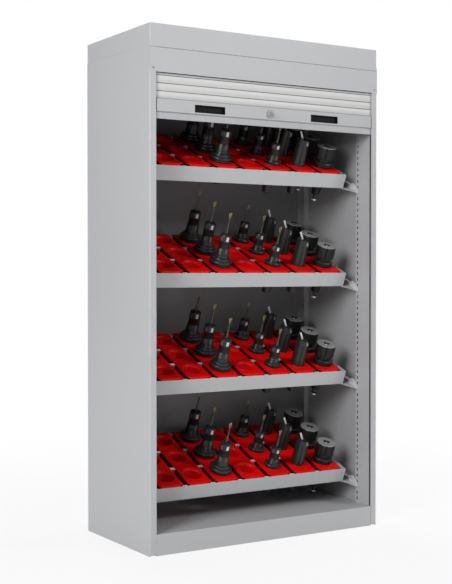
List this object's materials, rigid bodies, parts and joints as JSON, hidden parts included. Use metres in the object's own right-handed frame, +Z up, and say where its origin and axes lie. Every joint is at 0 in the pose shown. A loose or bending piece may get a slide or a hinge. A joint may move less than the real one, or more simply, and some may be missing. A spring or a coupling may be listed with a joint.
{
  "type": "roll front tool cabinet",
  "caption": "Tall steel cabinet with a roll front that winds into its header, slotted posts and sloping trays of plastic sockets that hold taper tool holders.",
  "frame": {"origin": "on the floor under the middle of the cabinet body", "axes": "+Z up, +X to the right as one faces the roll front, +Y from the front to the back"},
  "size_m": [1.056, 0.5447, 1.95],
  "materials": {
    "body_paint": "satin",
    "inner_paint": "satin",
    "slat_plastic": "satin",
    "guide_plastic": "matte",
    "black_plastic": "matte",
    "socket_plastic": "satin",
    "rail_metal": "satin",
    "plain_steel": "satin",
    "lock_metal": "polished",
    "holder_steel": "polished",
    "mill_steel": "satin",
    "cutting_gold": "satin",
    "rubber": "matte"
  },
  "bodies": {
    "cabinet": {"side_panel_right": "body_paint", "side_panel_left": "body_paint", "back_panel": "body_paint", "top_cap": "body_paint", "header_fascia": "body_paint", "floor_pan": "body_paint", "drum_cover": "inner_paint", "floor_ribs": "inner_paint", "front_upright_right": "inner_paint", "front_upright_left": "inner_paint", "rear_upright_right": "inner_paint", "rear_upright_left": "inner_paint", "tray_frame_1": "inner_paint", "tray_frame_2": "inner_paint", "tray_frame_3": "inner_paint", "tray_frame_4": "inner_paint", "tray_carriers_right": "inner_paint", "tray_carriers_left": "inner_paint", "fascia_screws": "plain_steel", "keeper_plate": "plain_steel", "base_corners": "plain_steel", "drum_bracket_right": "plain_steel", "drum_bracket_left": "plain_steel", "drum_axle": "plain_steel", "torsion_spring": "plain_steel", "levelling_feet": "rubber", "guide_rail_right": "guide_plastic", "guide_rail_left": "guide_plastic", "open_sockets": "socket_plastic", "filled_sockets": "socket_plastic", "large_chucks": "holder_steel", "small_chucks": "holder_steel", "boring_bars": "holder_steel", "boring_heads": "holder_steel", "face_mills": "mill_steel", "bar_tips": "cutting_gold", "cutting_plates": "cutting_gold", "pull_studs": "cutting_gold"},
    "roll_front": {"roll_slats": "slat_plastic", "slat_end_caps": "slat_plastic", "leader_slats": "slat_plastic", "bottom_rail": "rail_metal", "rail_end_caps": "slat_plastic", "closing_strip": "inner_paint", "handle_cups": "black_plastic", "lock_barrel": "lock_metal"},
    "drum": {"drum_tube": "plain_steel", "drum_discs": "guide_plastic", "wound_slats": "slat_plastic"},
    "lock": {"lock_plug": "lock_metal", "lock_key": "lock_metal", "lock_cam": "plain_steel"}
  },
  "joints": [
    {"name": "roll_front_slide", "type": "slide", "parent": "cabinet", "child": "roll_front", "axis": [0, 0, 1], "range_m": [-1.5257, 0.093], "deforming": ["leader_slats"]},
    {"name": "drum_spin", "type": "hinge", "parent": "cabinet", "child": "drum", "pos_m": [0, -0.1679, 1.858], "axis": [1, 0, 0], "range_deg": [-100, 1600]},
    {"name": "lock_turn", "type": "hinge", "parent": "roll_front", "child": "lock", "pos_m": [0, -0.24965, 1.6526], "axis": [0, 1, 0], "range_deg": [0, 90]}
  ],
  "couplings": [
    {"joint": "drum_spin", "follows": "roll_front_slide", "rad_per_m": -18.182}
  ]
}
